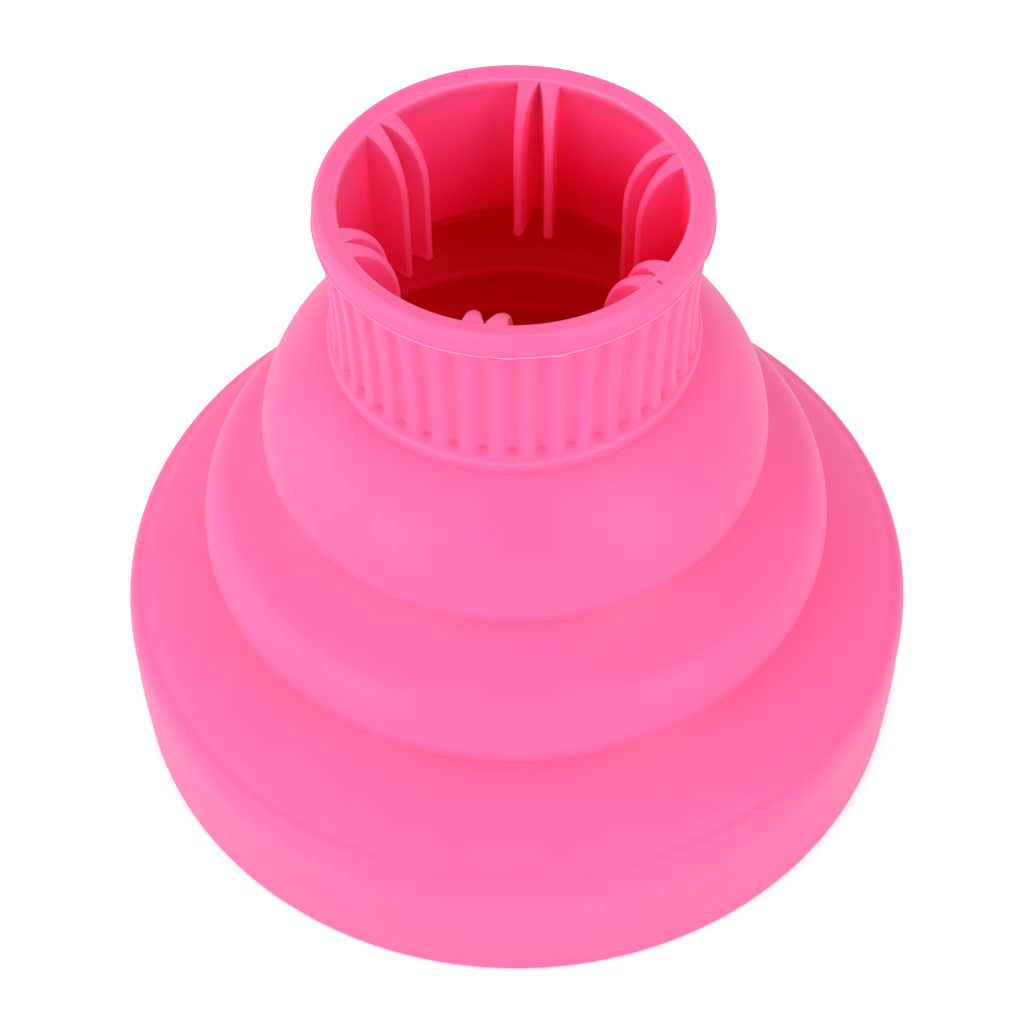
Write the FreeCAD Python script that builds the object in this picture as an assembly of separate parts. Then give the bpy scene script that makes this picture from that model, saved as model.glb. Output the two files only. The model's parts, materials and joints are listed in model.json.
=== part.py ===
import FreeCAD, Part
import math
import os

# Collapsible silicone diffuser for a hair dryer, in millimetres.
# The origin is the centre of the lower rim, on the plane the rim stands on.
# +Z runs up the axis to the dryer socket. Azimuths are in degrees from +Y towards +X.
# Profile points are (radius, height) and are drawn in the XZ plane.

Vector = FreeCAD.Vector

# ---------------------------------------------------------------- driving dimensions
# Skin
BASE_R = 72.0            # outer radius at the lower rim
SKIRT_WALL = 2.0         # wall of skirt and lower tier
TIER_WALL = 1.7          # wall of the upper and middle tiers
WEB_WALL = 1.25          # thin folds between the tiers
UPPER_R = 43.25          # widest radius of the upper tier
UPPER_Z = 64.2           # height of that widest circle
MIDDLE_R = 55.55         # the same for the middle tier
MIDDLE_Z = 42.2
FOLD_R = 2.0             # outer radius of the roll under each tier
VALLEY_R = 1.5           # radius of the valley behind each roll

# Bead on the lower rim
RIM_BEAD_H = 3.2
RIM_BEAD_IN = 1.1        # how far it stands inward of the skirt wall
RIM_ROUND = 0.9          # rounding of its lower edges
RIM_ROUND_MID = 0.26     # inset of the middle of that rounding from both faces

# Neck
NECK_IN_R = 27.5         # inner radius of the ribbed neck
RIB_R = 29.8             # crest of the ribs
RIB_TOP_R = 30.5         # underside of the lip
RIB_COUNT = 40
GROOVE_W = 1.9
GROOVE_D = 0.95
GROOVE_AZ = 109.2        # azimuth of the first groove
GROOVE_Z0 = 89.0         # lower end of the grooves
NECK_BEAD_Z0, NECK_BEAD_Z1 = 84.9, 88.2
NECK_BEAD_R = 30.7
NECK_FOOT_R = 30.35      # outer radius where the bead meets the upper tier
SLEEVE_Z1 = 111.2        # top of the ribbed wall, under the lip
LIP_R = 31.15
LIP_IN_R = 27.15
LIP_Z = 115.8            # top of the lip

# Gripping fins, in pairs inside the neck
FIN_PAIRS = 6
FIN_PAIR_AZ = 9.4        # azimuth of the first pair
FIN_HINGE_R = 25.65      # distance of the root axes from the centre, along the pair's azimuth
FIN_HINGE_X = 1.9        # half distance between the two root axes of a pair
FIN_ROOT_R = 1.4
FIN_TIP_R = 0.74
FIN_TIP_X, FIN_TIP_Y = 2.60, 20.65  # sideways and radial position of the tip rounding
FIN_Z0 = 87.6
FIN_TOP_Z = 114.9        # height of the fin at the wall
FIN_SHOULDER_Z = 104.0   # height at which it reaches full depth
FIN_EXTRA_H = 1.0        # extra height, trimmed off by the mouth tool
MOUTH_TIP_GAP = 0.3      # mouth radius inside the fin tips
MOUTH_STEPS = 12         # spans in the quarter ellipse of the mouth
MOUTH_OVER_R = 1.0       # how far the mouth tool reaches beyond the fins
MOUTH_OVER_H = 6.0

# Diffuser plate
PLATE_Z0, PLATE_Z1 = 11.0, 13.0
PLATE_R = 69.4
PLATE_BEAD_IN_R = 68.3   # inner radius of the beads holding the plate
PLATE_BEAD_H = 2.2
PLATE_BEAD_CHAMFER = 0.5
PLATE_BEAD_GAP = 0.02    # gap between those beads and the skirt
HOLE_TOOL_H = 6.0
HOLE_TOOL_BELOW = 2.0    # start of the hole tools below the plate
# count, ring radius, azimuth of the first hole, hole radius
HOLE_RINGS = (
    (6, 9.5, 30.0, 2.2),
    (12, 27.0, 0.0, 2.8),
    (18, 45.0, 0.0, 3.0),
    (30, 62.5, 6.0, 2.8),
)

# Nubs under the plate
NUB_TIP_Z = 1.6          # bottom of the full tip sphere
NUB_ROOT_R, NUB_TIP_R = 3.6, 2.3
NUB_END_ANGLE = -80.0    # where the rounding stops at a small flat
# name, count, ring radius, azimuth of the first nub
NUB_RINGS = (
    ("inner_nubs", 6, 18.0, 0.0),
    ("middle_nubs", 12, 36.0, 15.0),
    ("outer_nubs", 18, 54.0, 0.0),
)

# Sampling of the skin profile
SAMPLE_STEP = 0.35
RAMP_IN = 8              # samples over which the wall thins before a fold
RAMP_HALF = 6            # samples each side of a web's end over which it thickens
MIN_STRETCH = 0.45       # inside travel per outside travel below which the offset is redrawn
RELAX_MARGIN = 7         # samples smoothed each side of a redrawn stretch
RELAX_PASSES = 24
PICK_TURN = 0.36         # radians turned between spline points
PICK_RUN = 4.5           # longest run between spline points
PICK_END = 0.8           # least run left before the end cut


# ---------------------------------------------------------------- helpers
def polar(radius, azimuth, z=0.0):
    angle = math.radians(azimuth)
    return Vector(radius * math.sin(angle), radius * math.cos(angle), z)


def arc_points(centre_r, centre_z, radius, start, end, spans):
    """Points along an arc; angles in degrees from outward towards up."""
    angles = [math.radians(start + (end - start) * i / spans) for i in range(spans + 1)]
    return [(centre_r + radius * math.cos(a), centre_z + radius * math.sin(a)) for a in angles]


def spline_edge(points):
    curve = Part.BSplineCurve()
    curve.interpolate([Vector(r, 0, z) for r, z in points])
    return curve.toShape()


def line(start, end):
    return Part.makeLine(Vector(start[0], 0, start[1]), Vector(end[0], 0, end[1]))


def arc_edge(*points):
    """Arc through three profile points."""
    return Part.Arc(*[Vector(r, 0, z) for r, z in points]).toShape()


def polyline(points):
    return [line(start, end) for start, end in zip(points[:-1], points[1:])]


def revolve(edges):
    """Full turn of a closed profile about Z, with its faces outward."""
    solid = Part.Face(Part.Wire(edges)).revolve(Vector(0, 0, 0), Vector(0, 0, 1), 360)
    return solid if solid.Volume > 0 else solid.reversed()


def second_derivatives(x, y):
    """Second derivatives of the natural cubic spline through (x, y)."""
    n = len(x)
    below, diagonal, above, right = [0.0] * n, [1.0] * n, [0.0] * n, [0.0] * n
    for i in range(1, n - 1):
        h0, h1 = x[i] - x[i - 1], x[i + 1] - x[i]
        below[i], diagonal[i], above[i] = h0, 2.0 * (h0 + h1), h1
        right[i] = 6.0 * ((y[i + 1] - y[i]) / h1 - (y[i] - y[i - 1]) / h0)
    for i in range(1, n):
        factor = below[i] / diagonal[i - 1]
        diagonal[i] -= factor * above[i - 1]
        right[i] -= factor * right[i - 1]
    result = [0.0] * n
    result[-1] = right[-1] / diagonal[-1]
    for i in range(n - 2, -1, -1):
        result[i] = (right[i] - above[i] * result[i + 1]) / diagonal[i]
    return result


def sample_curve(points, step):
    """Samples about `step` apart on a smooth curve through `points`.

    Returns the samples, their stations along the chords, and the sample index of each point.
    """
    chord = [0.0]
    for p, q in zip(points[:-1], points[1:]):
        chord.append(chord[-1] + math.hypot(q[0] - p[0], q[1] - p[1]))
    bends = [second_derivatives(chord, [p[axis] for p in points]) for axis in (0, 1)]
    samples, along, knots = [], [], []
    for i in range(len(points) - 1):
        knots.append(len(samples))
        h = chord[i + 1] - chord[i]
        count = max(2, int(math.ceil(h / step)))
        for j in range(count):
            u = j / count
            w = 1.0 - u
            sample = []
            for axis in (0, 1):
                p0, p1 = points[i][axis], points[i + 1][axis]
                m0, m1 = bends[axis][i], bends[axis][i + 1]
                bend = h * h / 6.0 * ((w ** 3 - w) * m0 + (u ** 3 - u) * m1)
                sample.append(w * p0 + u * p1 + bend)
            samples.append(tuple(sample))
            along.append(chord[i] + u * h)
    knots.append(len(samples))
    samples.append(tuple(points[-1]))
    along.append(chord[-1])
    return samples, along, knots


# ---------------------------------------------------------------- skin profile
def roll(radius, z):
    """Roll under a tier whose widest circle is at (radius, z)."""
    return arc_points(radius - FOLD_R, z, FOLD_R, 0, -90, 5)


def valley(radius, z):
    """Valley behind that roll."""
    return arc_points(radius - FOLD_R, z - FOLD_R - VALLEY_R, VALLEY_R, 110, 220, 6)


# The outer line from the foot of the neck down to the rim, one run of points per piece.
# Each piece begins at the last point of the run before it.
SKIN_RUNS = (
    ("upper_tier", [
        (NECK_FOOT_R, NECK_BEAD_Z0), (33.4, 82.9), (36.3, 80.15), (39.0, 76.9),
        (41.2, 73.2), (42.55, 69.9), (43.12, 66.9)] + roll(UPPER_R, UPPER_Z)),
    ("upper_fold_web", valley(UPPER_R, UPPER_Z) + [
        (42.6, 56.9), (44.5, 55.5), (46.9, 54.2), (49.4, 53.15)]),
    ("middle_tier", [
        (51.6, 51.95), (53.5, 49.9), (54.75, 47.4), (55.35, 44.9)] + roll(MIDDLE_R, MIDDLE_Z)),
    ("lower_fold_web", valley(MIDDLE_R, MIDDLE_Z) + [
        (55.0, 35.3), (57.2, 34.0), (59.4, 32.85), (61.5, 31.85)]),
    ("lower_tier", [
        (63.5, 30.9), (65.5, 29.9), (67.2, 28.95), (68.3, 28.15), (69.0, 27.7)]),
    ("base_skirt", [
        (69.75, 27.55), (70.65, 26.95), (71.3, 25.6), (71.67, 23.6), (71.9, 19.0),
        (72.1, 12.0), (72.08, 6.5), (BASE_R, RIM_BEAD_H)]),
)

control = []
run_ends = []
for _, run in SKIN_RUNS:
    control += run
    run_ends.append(len(control) - 1)
outer, stations, knots = sample_curve(control, SAMPLE_STEP)
cuts = [0] + [knots[i] for i in run_ends]   # sample indices where the pieces meet
UPPER_ROLL_END, UPPER_WEB_END, MIDDLE_ROLL_END, LOWER_WEB_END, CREASE = cuts[1:6]


def ramp(i, start, end):
    """Smooth rise from 0 to 1 between two samples."""
    u = (stations[i] - stations[start]) / (stations[end] - stations[start])
    u = min(1.0, max(0.0, u))
    return u * u * (3 - 2 * u)


def wall_at(i):
    """Wall thickness: thin in the folds, changing smoothly."""
    wall = TIER_WALL
    wall += (WEB_WALL - TIER_WALL) * ramp(i, UPPER_ROLL_END - RAMP_IN, UPPER_ROLL_END)
    wall += (TIER_WALL - WEB_WALL) * ramp(i, UPPER_WEB_END - RAMP_HALF, UPPER_WEB_END + RAMP_HALF)
    wall += (WEB_WALL - TIER_WALL) * ramp(i, MIDDLE_ROLL_END - RAMP_IN, MIDDLE_ROLL_END)
    wall += (SKIRT_WALL - WEB_WALL) * ramp(i, LOWER_WEB_END - RAMP_HALF, LOWER_WEB_END + RAMP_HALF)
    return wall


def offset_line():
    """The outer line moved in by the wall, ending in a level cut at the rim."""
    offset = []
    for i in range(len(outer) - 1):
        p, q = outer[max(0, i - 1)], outer[i + 1]
        dr, dz = q[0] - p[0], q[1] - p[1]
        length = math.hypot(dr, dz)
        # the line runs outward and down, so the inside is on its right
        wall = wall_at(i)
        offset.append((outer[i][0] + dz / length * wall, outer[i][1] - dr / length * wall))
    offset.append((outer[-1][0] - SKIRT_WALL, outer[-1][1]))
    return offset


def tight_samples(offset):
    """Samples near which the outside turns tighter than the wall is thick."""
    n = len(outer)
    tight = set()
    for i in range(n - 1):
        outer_r, outer_z = outer[i + 1][0] - outer[i][0], outer[i + 1][1] - outer[i][1]
        inner_r, inner_z = offset[i + 1][0] - offset[i][0], offset[i + 1][1] - offset[i][1]
        travel = outer_r * inner_r + outer_z * inner_z
        if travel < MIN_STRETCH * (outer_r * outer_r + outer_z * outer_z):
            tight.update(range(max(1, i - 2), min(n - 1, i + 4)))
    return tight


def inner_line():
    """The offset line, drawn through smoothly where it would fold over itself."""
    points = offset_line()
    tight = tight_samples(points)
    n = len(points)
    i = 0
    while i < n:
        if i not in tight:
            i += 1
            continue
        j = i
        while j in tight:
            j += 1
        p, q = points[i - 1], points[j]
        for k in range(i, j):
            u = (stations[k] - stations[i - 1]) / (stations[j] - stations[i - 1])
            points[k] = (p[0] + u * (q[0] - p[0]), p[1] + u * (q[1] - p[1]))
        first, last = max(1, i - RELAX_MARGIN), min(n - 1, j + RELAX_MARGIN)
        for _ in range(RELAX_PASSES):
            points[first:last] = [
                tuple((points[k - 1][axis] + 2 * points[k][axis] + points[k + 1][axis]) / 4
                      for axis in (0, 1))
                for k in range(first, last)]
        i = j
    return points


inner = inner_line()


def pick(start, end):
    """Samples between two cuts, close together only where the line turns."""
    picked, turn, travel = [start], 0.0, 0.0
    for i in range(start + 1, end):
        before = math.atan2(outer[i][1] - outer[i - 1][1], outer[i][0] - outer[i - 1][0])
        after = math.atan2(outer[i + 1][1] - outer[i][1], outer[i + 1][0] - outer[i][0])
        turn += abs((after - before + math.pi) % (2 * math.pi) - math.pi)
        travel += stations[i] - stations[i - 1]
        if (turn > PICK_TURN or travel > PICK_RUN) and stations[end] - stations[i] > PICK_END:
            picked.append(i)
            turn, travel = 0.0, 0.0
    return picked + [end]


def skin(start, end):
    """Ring of the skin between two cuts; neighbours share the same end cuts."""
    picked = pick(start, end)
    outside = [outer[i] for i in picked]
    inside = [inner[i] for i in picked]
    return revolve([
        spline_edge(outside), line(outside[-1], inside[-1]),
        spline_edge(inside[::-1]), line(inside[0], outside[0])])


def rim_bead():
    """Bead round the lower edge, rounded outside and inside."""
    skirt_in = outer[-1][0] - SKIRT_WALL
    bead_in = skirt_in - RIM_BEAD_IN
    chamfer_foot = (bead_in, RIM_BEAD_H - RIM_BEAD_IN)
    outer_side, outer_foot = (BASE_R, RIM_ROUND), (BASE_R - RIM_ROUND, 0)
    inner_side, inner_foot = (bead_in, RIM_ROUND), (bead_in + RIM_ROUND, 0)
    return revolve([
        line((skirt_in, RIM_BEAD_H), outer[-1]),
        line(outer[-1], outer_side),
        arc_edge(outer_side, (BASE_R - RIM_ROUND_MID, RIM_ROUND_MID), outer_foot),
        line(outer_foot, inner_foot),
        arc_edge(inner_foot, (bead_in + RIM_ROUND_MID, RIM_ROUND_MID), inner_side),
        line(inner_side, chamfer_foot),
        line(chamfer_foot, (skirt_in, RIM_BEAD_H)),
    ])


# ---------------------------------------------------------------- neck
def rib_plan():
    """Section of the ribbed wall: wide ribs and narrow flat-bottomed grooves."""
    half = math.degrees(GROOVE_W / 2 / RIB_R)
    pitch = 360.0 / RIB_COUNT
    floor_r = RIB_R - GROOVE_D
    edges = []
    for k in range(RIB_COUNT):
        azimuth = GROOVE_AZ + pitch * k
        following = azimuth + pitch
        groove = [polar(RIB_R, azimuth - half), polar(floor_r, azimuth - half),
                  polar(floor_r, azimuth + half), polar(RIB_R, azimuth + half)]
        edges += [Part.makeLine(p, q) for p, q in zip(groove[:-1], groove[1:])]
        crest = polar(RIB_R, (azimuth + following) / 2.0)
        edges.append(Part.Arc(groove[-1], crest, polar(RIB_R, following - half)).toShape())
    return Part.Face(Part.Wire(edges))


def neck_sleeve():
    """Ribbed wall on a plain foot, bored through."""
    ribbed = rib_plan().extrude(Vector(0, 0, SLEEVE_Z1 - GROOVE_Z0))
    ribbed.translate(Vector(0, 0, GROOVE_Z0))
    foot = Part.makeCylinder(RIB_R, GROOVE_Z0 - NECK_BEAD_Z1, Vector(0, 0, NECK_BEAD_Z1))
    bore = Part.makeCylinder(
        NECK_IN_R, SLEEVE_Z1 - NECK_BEAD_Z1 + 2.0, Vector(0, 0, NECK_BEAD_Z1 - 1.0))
    return ribbed.fuse(foot).cut(bore).Solids[0]


def neck_base_bead():
    """Bead round the foot of the neck, flaring inside into the upper tier."""
    inside = [(NECK_IN_R, NECK_BEAD_Z1), (27.75, 86.8), (28.35, 85.2), inner[0]]
    outside = [
        (RIB_R + 0.1, NECK_BEAD_Z1), (NECK_BEAD_R - 0.1, 87.55), (NECK_BEAD_R, 86.6),
        (NECK_BEAD_R - 0.08, 85.6), (NECK_FOOT_R, NECK_BEAD_Z0)]
    return revolve([
        spline_edge(outside), line(outside[-1], inside[-1]),
        spline_edge(inside[::-1]), line(inside[0], outside[0])])


def neck_lip():
    """Rounded lip, highest near its outer edge, overhanging the ribs."""
    points = [
        (NECK_IN_R, SLEEVE_Z1), (27.3, 113.1), (LIP_IN_R, 114.5), (27.4, 115.2),
        (28.3, 115.5), (29.3, 115.7), (30.05, LIP_Z), (30.65, 115.5), (31.0, 114.95),
        (LIP_R, 114.1), (LIP_R, 112.7), (30.98, 112.05), (RIB_TOP_R + 0.12, 111.6),
        (RIB_TOP_R, SLEEVE_Z1)]
    return revolve([spline_edge(points), line(points[-1], points[0])])


# ---------------------------------------------------------------- gripping fins
def fin_plan(side):
    """Fin seen from above, root towards +Y: two circles joined by their tangents.

    side is -1 or +1, the side of the pair along X.
    """
    root_x, tip_x = side * FIN_HINGE_X, side * FIN_TIP_X
    dx, dy = tip_x - root_x, FIN_TIP_Y - FIN_HINGE_R
    base = math.atan2(dy, dx)
    spread = math.acos((FIN_ROOT_R - FIN_TIP_R) / math.hypot(dx, dy))

    def on_root(angle, radius=FIN_ROOT_R):
        return Vector(root_x + radius * math.cos(angle), FIN_HINGE_R + radius * math.sin(angle), 0)

    def on_tip(angle):
        return Vector(
            tip_x + FIN_TIP_R * math.cos(angle), FIN_TIP_Y + FIN_TIP_R * math.sin(angle), 0)

    root_a, root_b = on_root(base + spread), on_root(base - spread)
    tip_a, tip_b = on_tip(base + spread), on_tip(base - spread)
    return Part.Face(Part.Wire([
        Part.makeLine(root_a, tip_a),
        Part.Arc(tip_a, on_tip(base), tip_b).toShape(),
        Part.makeLine(tip_b, root_b),
        Part.Arc(root_b, on_root(base, -FIN_ROOT_R), root_a).toShape(),
    ]))


def mouth_tool():
    """Space above the fins, opening in a quarter ellipse to the lip."""
    tip_r = FIN_TIP_Y - FIN_TIP_R - MOUTH_TIP_GAP
    back_r = FIN_HINGE_R + FIN_ROOT_R
    mouth = []
    for i in range(MOUTH_STEPS + 1):
        angle = math.radians(90.0 * i / MOUTH_STEPS)
        mouth.append((tip_r + (back_r - tip_r) * (1 - math.cos(angle)),
                      FIN_SHOULDER_Z + (FIN_TOP_Z - FIN_SHOULDER_Z) * math.sin(angle)))
    far_r, far_z = back_r + MOUTH_OVER_R, FIN_TOP_Z + MOUTH_OVER_H
    return revolve([line((0, FIN_SHOULDER_Z), mouth[0]), spline_edge(mouth)] + polyline([
        mouth[-1], (far_r, FIN_TOP_Z), (far_r, far_z), (0, far_z), (0, FIN_SHOULDER_Z)]))


def grip_fin(side, azimuth, tool):
    fin = fin_plan(side).extrude(Vector(0, 0, FIN_TOP_Z - FIN_Z0 + FIN_EXTRA_H))
    fin.translate(Vector(0, 0, FIN_Z0))
    fin.rotate(Vector(0, 0, 0), Vector(0, 0, 1), -azimuth)
    return fin.cut(tool)


# ---------------------------------------------------------------- diffuser face
def diffuser_plate():
    plate = Part.makeCylinder(PLATE_R, PLATE_Z1 - PLATE_Z0, Vector(0, 0, PLATE_Z0))
    holes = []
    for count, ring_r, azimuth, hole_r in HOLE_RINGS:
        for k in range(count):
            foot = polar(ring_r, azimuth + 360.0 * k / count, PLATE_Z0 - HOLE_TOOL_BELOW)
            holes.append(Part.makeCylinder(hole_r, HOLE_TOOL_H, foot))
    return plate.cut(Part.makeCompound(holes))


def skirt_inner_r(z):
    """Inner radius of the skirt at the sample nearest to height z."""
    return min(inner[CREASE:-1], key=lambda p: abs(p[1] - z))[0]


def plate_bead(z0):
    """Ring inside the skirt, from z0 up, chamfered on its inner edges."""
    z1 = z0 + PLATE_BEAD_H
    out_r = min(skirt_inner_r(z0), skirt_inner_r(z1)) - PLATE_BEAD_GAP
    in_r, chamfer = PLATE_BEAD_IN_R, PLATE_BEAD_CHAMFER
    return revolve(polyline([
        (out_r, z0), (out_r, z1), (in_r + chamfer, z1), (in_r, z1 - chamfer),
        (in_r, z0 + chamfer), (in_r + chamfer, z0), (out_r, z0)]))


def nub(centre):
    """Tapered finger under the plate with a round end."""
    tip_z = NUB_TIP_Z + NUB_TIP_R

    def on_tip(degrees):
        angle = math.radians(degrees)
        return NUB_TIP_R * math.cos(angle), tip_z + NUB_TIP_R * math.sin(angle)

    end = on_tip(NUB_END_ANGLE)
    side = (NUB_TIP_R, tip_z)
    solid = revolve(
        polyline([(0, PLATE_Z0), (NUB_ROOT_R, PLATE_Z0), side])
        + [arc_edge(side, on_tip(NUB_END_ANGLE / 2), end)]
        + polyline([end, (0, end[1]), (0, PLATE_Z0)]))
    solid.translate(centre)
    return solid


# ---------------------------------------------------------------- pieces and output
parts = {}
for (name, _), start, end in zip(SKIN_RUNS, cuts[:-1], cuts[1:]):
    parts[name] = skin(start, end)
parts["base_rim_bead"] = rim_bead()
parts["neck_sleeve"] = neck_sleeve()
parts["neck_base_bead"] = neck_base_bead()
parts["neck_lip"] = neck_lip()

mouth_cut = mouth_tool()
for k in range(FIN_PAIRS):
    for number, side in ((2 * k + 1, -1), (2 * k + 2, 1)):
        azimuth = FIN_PAIR_AZ + 360.0 / FIN_PAIRS * k
        parts["grip_fin_%02d" % number] = grip_fin(side, azimuth, mouth_cut)

parts["diffuser_plate"] = diffuser_plate()
parts["plate_seat_bead"] = plate_bead(PLATE_Z1)
parts["plate_retaining_bead"] = plate_bead(PLATE_Z0 - PLATE_BEAD_H)
parts["centre_nub"] = nub(Vector(0, 0, 0))
for name, count, ring_r, azimuth in NUB_RINGS:
    parts[name] = Part.makeCompound(
        [nub(polar(ring_r, azimuth + 360.0 * k / count)) for k in range(count)])

os.makedirs("parts", exist_ok=True)
for name, shape in parts.items():
    shape.exportStep("parts/%s.step" % name)
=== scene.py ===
"""Collapsible silicone diffuser: three tiers joined by thin folds, a ribbed neck with six pairs of
fins inside, and a pierced plate with nubs across the wide end.

It stands on its base rim at z = 0 with its axis on Z and the neck up. Shapes are worked out in
millimetres. Azimuths run from +Y towards +X.
"""

import json
import math
from functools import partial

import bmesh
import bpy
import numpy as np
from mathutils import Matrix


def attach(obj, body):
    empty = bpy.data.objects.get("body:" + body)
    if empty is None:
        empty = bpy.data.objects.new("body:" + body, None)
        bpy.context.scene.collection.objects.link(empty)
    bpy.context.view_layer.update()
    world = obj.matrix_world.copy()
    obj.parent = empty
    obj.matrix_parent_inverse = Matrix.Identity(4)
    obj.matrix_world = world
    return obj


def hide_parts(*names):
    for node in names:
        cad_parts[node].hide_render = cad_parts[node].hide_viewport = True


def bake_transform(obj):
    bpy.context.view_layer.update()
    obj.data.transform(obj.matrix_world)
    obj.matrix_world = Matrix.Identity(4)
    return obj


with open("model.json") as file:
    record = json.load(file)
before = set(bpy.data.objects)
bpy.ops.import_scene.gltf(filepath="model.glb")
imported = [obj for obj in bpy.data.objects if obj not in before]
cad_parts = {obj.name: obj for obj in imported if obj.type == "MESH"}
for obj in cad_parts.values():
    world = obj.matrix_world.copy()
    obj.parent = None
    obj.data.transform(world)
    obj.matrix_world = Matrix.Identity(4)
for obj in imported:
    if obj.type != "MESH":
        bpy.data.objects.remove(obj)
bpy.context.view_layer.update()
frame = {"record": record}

MM = 0.001
rng = np.random.default_rng(46)

# ---------------------------------------------------------------- main dimensions (mm)
BASE_R = 72.0
SKIRT_WALL, TIER_WALL, WEB_WALL = 2.0, 1.7, 1.25
RIM_H, RIM_REACH_IN, RIM_ROUND = 3.2, 1.1, 0.9
UPPER_R, UPPER_ROLL_Z = 43.25, 64.2         # where each tier starts to roll under
MIDDLE_R, MIDDLE_ROLL_Z = 55.55, 42.2
SHOULDER_R = 71.75
ROLL_R, VALLEY_R = 2.0, 1.5
CREASE = (69.0, 27.7)                       # r, z where the lower tier meets the skirt
BORE_R = 27.5
BEAD_R, BEAD_Z0, BEAD_Z1 = 30.7, 84.9, 88.2
BEAD_FOOT_R, BEAD_TOP_R = 30.35, BEAD_R - 0.75
RIB_R, RIB_TOP_R, SLEEVE_Z1 = 29.65, 30.5, 111.2
LIP_R, LIP_IN_R, LIP_Z = 31.15, 27.15, 115.8


# ---------------------------------------------------------------- curves in the (r, z) plane
def second_derivatives(x, y):
    """Second derivatives at the knots of the natural cubic spline y(x)."""
    n = len(x)
    matrix = np.zeros((n, n))
    right_side = np.zeros(n)
    matrix[0, 0] = matrix[-1, -1] = 1.0
    for i in range(1, n - 1):
        before, after = x[i] - x[i - 1], x[i + 1] - x[i]
        matrix[i, i - 1:i + 2] = before, 2 * (before + after), after
        right_side[i] = 6 * ((y[i + 1] - y[i]) / after - (y[i] - y[i - 1]) / before)
    return np.linalg.solve(matrix, right_side)


def smooth(points, step):
    """Points about `step` apart on the spline through `points`, and their stations along it."""
    points = np.array(points, float)
    along = np.r_[0, np.cumsum(np.hypot(*(points[1:] - points[:-1]).T))]
    bends = np.stack([second_derivatives(along, points[:, k]) for k in (0, 1)], 1)
    result, stations = [], []
    for i in range(len(points) - 1):
        span = along[i + 1] - along[i]
        count = max(2, int(math.ceil(span / step)))
        for j in range(count):
            u = j / count
            w = 1 - u
            bend = (w ** 3 - w) * bends[i] + (u ** 3 - u) * bends[i + 1]
            result.append(w * points[i] + u * points[i + 1] + span * span / 6 * bend)
            stations.append(along[i] + u * span)
    result.append(points[-1])
    stations.append(along[-1])
    return np.array(result), np.array(stations)


def arc(r, z, radius, start, end, count):
    """Points on an arc about (r, z), between two angles in degrees."""
    angles = [math.radians(start + (end - start) * i / count) for i in range(count + 1)]
    return [(r + radius * math.cos(a), z + radius * math.sin(a)) for a in angles]


def smoothstep(u):
    u = np.clip(u, 0, 1)
    return u * u * (3 - 2 * u)


def left_normals(steps):
    steps = steps / np.hypot(*steps.T)[:, None]
    return np.stack([-steps[:, 1], steps[:, 0]], 1)


def curve_normals(points):
    """Normals on the left of an open line, by the line's own slope."""
    return left_normals(np.gradient(points, axis=0))


# ---------------------------------------------------------------- the skin's profile
def fold_arcs(radius, z):
    """The roll under a tier's edge, and the valley below it."""
    centre = radius - ROLL_R
    return (arc(centre, z, ROLL_R, 0, -90, 5),
            arc(centre, z - ROLL_R - VALLEY_R, VALLEY_R, 110, 220, 6))


roll1, valley1 = fold_arcs(UPPER_R, UPPER_ROLL_Z)
roll2, valley2 = fold_arcs(MIDDLE_R, MIDDLE_ROLL_Z)
# outside of the skin from the neck down: r, z, one list per part
OUTLINE = [
    # upper tier
    [(BEAD_FOOT_R, BEAD_Z0), (33.4, 82.9), (36.3, 80.15), (39.0, 76.9), (41.2, 73.2),
     (42.55, 69.9), (43.12, 66.9)] + roll1,
    # upper fold web
    valley1 + [(42.6, 56.9), (44.5, 55.5), (46.9, 54.2), (49.4, 53.15)],
    # middle tier
    [(51.6, 51.95), (53.5, 49.9), (54.75, 47.4), (55.35, 44.9)] + roll2,
    # lower fold web
    valley2 + [(55.0, 35.3), (57.2, 34.0), (59.4, 32.85), (61.5, 31.85)],
    # lower tier
    [(63.5, 30.9), (65.5, 29.9), (67.2, 28.95), (68.3, 28.15), CREASE],
    # skirt
    [(69.76, 27.32), (70.62, 26.62), (71.27, 25.35), (SHOULDER_R - 0.06, 23.5), (71.9, 19.0),
     (72.1, 12.0), (72.08, 6.5), (BASE_R, RIM_H)],
]
control = np.array([point for part in OUTLINE for point in part])
outer, stations = smooth(control, 0.3)
# index in `outer` where each part ends
upper_end, web1_end, middle_end, web2_end, lower_end, skirt_end = [
    int(np.argmin(((outer - control[k - 1]) ** 2).sum(1)))
    for k in np.cumsum([len(part) for part in OUTLINE])]
valley1_mid = upper_end + int(np.argmin(outer[upper_end:web1_end, 0]))
valley2_mid = middle_end + int(np.argmin(outer[middle_end:web2_end, 0]))


def wall_thickness():
    wall = np.full(len(stations), TIER_WALL)
    # index, length of the change before and after it, change of thickness
    for index, before, after, change in (
            (upper_end, 2.8, 0, WEB_WALL - TIER_WALL), (web1_end, 2.1, 2.1, TIER_WALL - WEB_WALL),
            (middle_end, 2.8, 0, WEB_WALL - TIER_WALL), (web2_end, 2.1, 2.1, SKIRT_WALL - WEB_WALL)):
        start, end = stations[index] - before, stations[index] + after
        wall = wall + change * smoothstep((stations - start) / (end - start))
    return wall


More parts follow.
